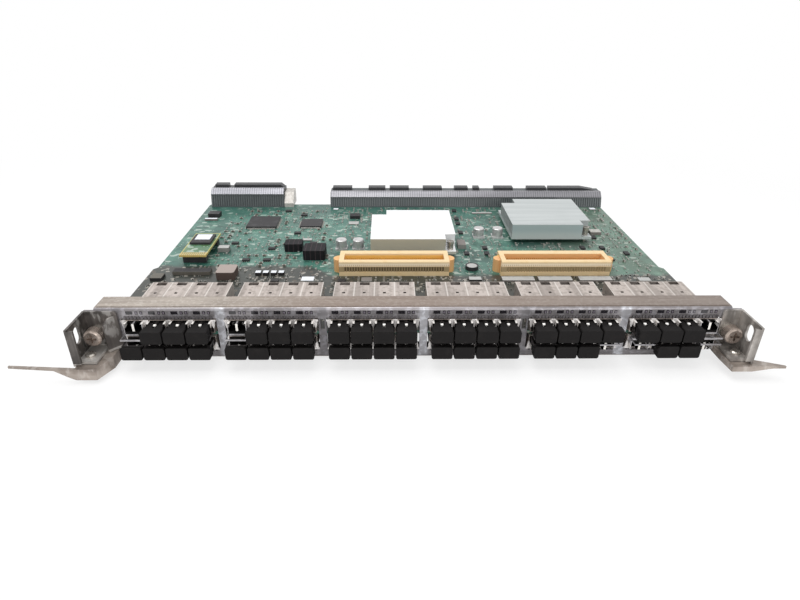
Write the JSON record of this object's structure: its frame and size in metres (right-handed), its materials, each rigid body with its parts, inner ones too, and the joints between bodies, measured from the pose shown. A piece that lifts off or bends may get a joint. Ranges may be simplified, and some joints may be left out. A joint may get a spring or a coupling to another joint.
{
  "type": "switch line card",
  "caption": "Rack switch line card lying flat: board with belly-to-belly optical ports behind a steel faceplate, ejector levers, captive screws, heat sinks and backplane connectors.",
  "frame": {"origin": "middle of the faceplate's front face, level with the component side of the board", "axes": "+X along the faceplate to the right seen from the ports, ports face -Y, backplane connectors at +Y, +Z off the component side"},
  "size_m": [0.485, 0.296, 0.0396],
  "materials": {
    "board_laminate": "satin",
    "faceplate_steel": "satin",
    "gasket": "matt",
    "cage_steel": "satin",
    "module_metal": "satin",
    "plug_rubber": "matt",
    "bail_steel": "satin",
    "clear_plastic": "gloss",
    "bracket_steel": "satin",
    "fastener_steel": "satin",
    "sink_aluminium": "satin",
    "package_plastic": "matt",
    "mezzanine_plastic": "matt",
    "connector_plastic": "satin",
    "can_aluminium": "satin"
  },
  "bodies": {
    "card": {"backplane_connector_left": "connector_plastic", "backplane_connector_right": "connector_plastic", "bails_behind_plugs": "bail_steel", "board_ties": "faceplate_steel", "capacitor_cans": "can_aluminium", "circuit_board": "board_laminate", "connector_strips": "fastener_steel", "control_chips": "package_plastic", "daughter_card": "board_laminate", "daughter_chip": "package_plastic", "daughter_sockets": "package_plastic", "dust_plugs_bottom": "plug_rubber", "dust_plugs_top": "plug_rubber", "ejector_bracket_left": "bracket_steel", "ejector_bracket_right": "bracket_steel", "emi_gaskets": "gasket", "faceplate": "faceplate_steel", "guide_block": "sink_aluminium", "heat_sink_left": "sink_aluminium", "heat_sink_right": "sink_aluminium", "heat_sink_screws": "fastener_steel", "heat_sink_springs": "fastener_steel", "lever_pivots": "fastener_steel", "light_pipes": "clear_plastic", "mezzanine_connector_left": "mezzanine_plastic", "mezzanine_connector_right": "mezzanine_plastic", "open_transceiver_bottom_5d": "module_metal", "open_transceiver_bottom_6a": "module_metal", "open_transceiver_bottom_6d": "module_metal", "open_transceiver_top_1a": "module_metal", "open_transceiver_top_2a": "module_metal", "open_transceiver_top_6d": "module_metal", "plugged_transceivers_bottom": "module_metal", "plugged_transceivers_top": "module_metal", "power_inductors": "package_plastic", "screw_sleeves": "fastener_steel", "sfp_cage_bottom_1": "cage_steel", "sfp_cage_bottom_2": "cage_steel", "sfp_cage_bottom_3": "cage_steel", "sfp_cage_bottom_4": "cage_steel", "sfp_cage_bottom_5": "cage_steel", "sfp_cage_bottom_6": "cage_steel", "sfp_cage_top_1": "cage_steel", "sfp_cage_top_2": "cage_steel", "sfp_cage_top_3": "cage_steel", "sfp_cage_top_4": "cage_steel", "sfp_cage_top_5": "cage_steel", "sfp_cage_top_6": "cage_steel", "switch_chips": "package_plastic", "tie_screws": "fastener_steel"},
    "lever_left": {"ejector_lever_left": "bracket_steel"},
    "lever_right": {"ejector_lever_right": "bracket_steel"},
    "screw_left": {"captive_screw_left": "fastener_steel"},
    "screw_right": {"captive_screw_right": "fastener_steel"},
    "bail_top_1a": {"bail_top_1a": "bail_steel"},
    "bail_top_2a": {"bail_top_2a": "bail_steel"},
    "bail_top_6d": {"bail_top_6d": "bail_steel"},
    "bail_bottom_5d": {"bail_bottom_5d": "bail_steel"},
    "bail_bottom_6a": {"bail_bottom_6a": "bail_steel"},
    "bail_bottom_6d": {"bail_bottom_6d": "bail_steel"}
  },
  "joints": [
    {"name": "lever_left_swing", "type": "hinge", "parent": "card", "child": "lever_left", "pos_m": [-0.206, -0.014, -0.01075], "axis": [0, 0, 1], "range_deg": [0, 80]},
    {"name": "lever_right_swing", "type": "hinge", "parent": "card", "child": "lever_right", "pos_m": [0.206, -0.014, -0.01075], "axis": [0, 0, -1], "range_deg": [0, 80]},
    {"name": "screw_left_turn", "type": "hinge", "parent": "card", "child": "screw_left", "pos_m": [-0.2041, 0, 0.00215], "axis": [0, 1, 0], "continuous": true},
    {"name": "screw_right_turn", "type": "hinge", "parent": "card", "child": "screw_right", "pos_m": [0.2041, 0, 0.00215], "axis": [0, 1, 0], "continuous": true},
    {"name": "bail_top_1a_swing", "type": "hinge", "parent": "card", "child": "bail_top_1a", "pos_m": [-0.18, -0.0029, 0.00105], "axis": [-1, 0, 0], "range_deg": [0, 88]},
    {"name": "bail_top_2a_swing", "type": "hinge", "parent": "card", "child": "bail_top_2a", "pos_m": [-0.11455, -0.0029, 0.00105], "axis": [-1, 0, 0], "range_deg": [0, 88]},
    {"name": "bail_top_6d_swing", "type": "hinge", "parent": "card", "child": "bail_top_6d", "pos_m": [0.19, -0.0029, 0.00105], "axis": [-1, 0, 0], "range_deg": [0, 88]},
    {"name": "bail_bottom_5d_swing", "type": "hinge", "parent": "card", "child": "bail_bottom_5d", "pos_m": [0.12455, -0.0029, -0.00345], "axis": [1, 0, 0], "range_deg": [0, 88]},
    {"name": "bail_bottom_6a_swing", "type": "hinge", "parent": "card", "child": "bail_bottom_6a", "pos_m": [0.14725, -0.0029, -0.00345], "axis": [1, 0, 0], "range_deg": [0, 88]},
    {"name": "bail_bottom_6d_swing", "type": "hinge", "parent": "card", "child": "bail_bottom_6d", "pos_m": [0.19, -0.0029, -0.00345], "axis": [1, 0, 0], "range_deg": [0, 88]}
  ]
}
